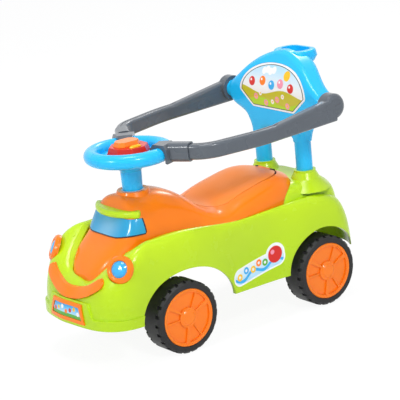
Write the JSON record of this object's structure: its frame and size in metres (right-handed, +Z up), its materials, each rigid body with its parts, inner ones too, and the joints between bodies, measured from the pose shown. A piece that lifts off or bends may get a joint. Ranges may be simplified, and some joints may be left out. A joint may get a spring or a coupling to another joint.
{
  "type": "ride-on push car",
  "caption": "Toddler's moulded ride-on push car with steering wheel, lifting guard arms, backrest with a push grip, and a storage bin under the hinged seat.",
  "frame": {"origin": "on the floor below the middle of the bounding box", "axes": "+X to the car's front, +Y to its left, +Z up"},
  "size_m": [0.6518, 0.358, 0.508],
  "materials": {
    "green": "glossy lime green moulding",
    "orange": "glossy orange moulding",
    "blue": "glossy sky blue moulding",
    "lens_blue": "clear blue print with a glossy face",
    "grey": "satin grey moulding",
    "red": "glossy red moulding",
    "yellow": "glossy yellow moulding",
    "print": "printed film",
    "bin_black": "matt black moulding",
    "tyre": "blow-moulded black plastic tyre",
    "bush": "natural white plastic",
    "steel": "bright steel"
  },
  "bodies": {
    "root": {"backrest": "blue", "backrest_label": "print", "backrest_screw_left": "steel", "backrest_screw_right": "steel", "body_shell": "green", "cover_screw_front_left": "steel", "cover_screw_front_right": "steel", "cover_screw_middle_left": "steel", "cover_screw_middle_right": "steel", "grille_trim": "orange", "headlight_lens_left": "lens_blue", "headlight_lens_right": "lens_blue", "headlight_ring_left": "orange", "headlight_ring_right": "orange", "lower_bush": "bush", "plate_frame": "orange", "plate_panel": "print", "rear_axle": "steel", "rear_left_bush": "bush", "rear_left_push_nut": "steel", "rear_right_bush": "bush", "rear_right_push_nut": "steel", "seat_hinge_pin": "steel", "storage_bin": "bin_black", "sun_visor": "green", "top_cover": "orange", "upper_bush": "bush", "windscreen": "lens_blue"},
    "steering": {"steering_wheel": "blue", "steering_rod": "steel", "axle_carrier": "bin_black", "front_axle": "steel", "front_left_push_nut": "steel", "front_right_push_nut": "steel", "horn_housing": "red"},
    "front_left_wheel": {"front_left_tyre": "tyre", "front_left_disc": "orange"},
    "front_right_wheel": {"front_right_tyre": "tyre", "front_right_disc": "orange"},
    "rear_left_wheel": {"rear_left_tyre": "tyre", "rear_left_disc": "orange"},
    "rear_right_wheel": {"rear_right_tyre": "tyre", "rear_right_disc": "orange"},
    "horn_button": {"horn_button": "orange"},
    "tune_button": {"tune_button": "yellow"},
    "left_arm": {"guard_arm_left": "grey", "arm_clip_left": "grey"},
    "right_arm": {"guard_arm_right": "grey", "arm_clip_right": "grey"},
    "seat_lid": {"seat_lid": "orange"}
  },
  "joints": [
    {"name": "steering_turn", "type": "hinge", "parent": "root", "child": "steering", "pos_m": [0.14, 0, 0.2], "axis": [0, 0, 1], "range_deg": [-20, 20]},
    {"name": "front_left_spin", "type": "hinge", "parent": "steering", "child": "front_left_wheel", "pos_m": [0.134, 0.11, 0.072], "axis": [0, 1, 0], "continuous": true},
    {"name": "front_right_spin", "type": "hinge", "parent": "steering", "child": "front_right_wheel", "pos_m": [0.134, -0.11, 0.072], "axis": [0, 1, 0], "continuous": true},
    {"name": "rear_left_spin", "type": "hinge", "parent": "root", "child": "rear_left_wheel", "pos_m": [-0.22, 0.11, 0.072], "axis": [0, 1, 0], "continuous": true},
    {"name": "rear_right_spin", "type": "hinge", "parent": "root", "child": "rear_right_wheel", "pos_m": [-0.22, -0.11, 0.072], "axis": [0, 1, 0], "continuous": true},
    {"name": "horn_press", "type": "slide", "parent": "steering", "child": "horn_button", "axis": [0, 0, -1], "range_m": [0, 0.003], "stiffness_N_per_m": 400, "springref_m": -0.0005},
    {"name": "tune_press", "type": "slide", "parent": "steering", "child": "tune_button", "axis": [0, 0, -1], "range_m": [0, 0.002], "stiffness_N_per_m": 300, "springref_m": -0.0005},
    {"name": "left_arm_lift", "type": "hinge", "parent": "root", "child": "left_arm", "pos_m": [-0.24, 0.165, 0.415], "axis": [0, -1, 0], "range_deg": [0, 100]},
    {"name": "right_arm_lift", "type": "hinge", "parent": "root", "child": "right_arm", "pos_m": [-0.24, -0.165, 0.415], "axis": [0, -1, 0], "range_deg": [0, 100]},
    {"name": "seat_open", "type": "hinge", "parent": "root", "child": "seat_lid", "pos_m": [-0.188, 0, 0.27223], "axis": [0, -1, 0], "range_deg": [0, 80]}
  ]
}
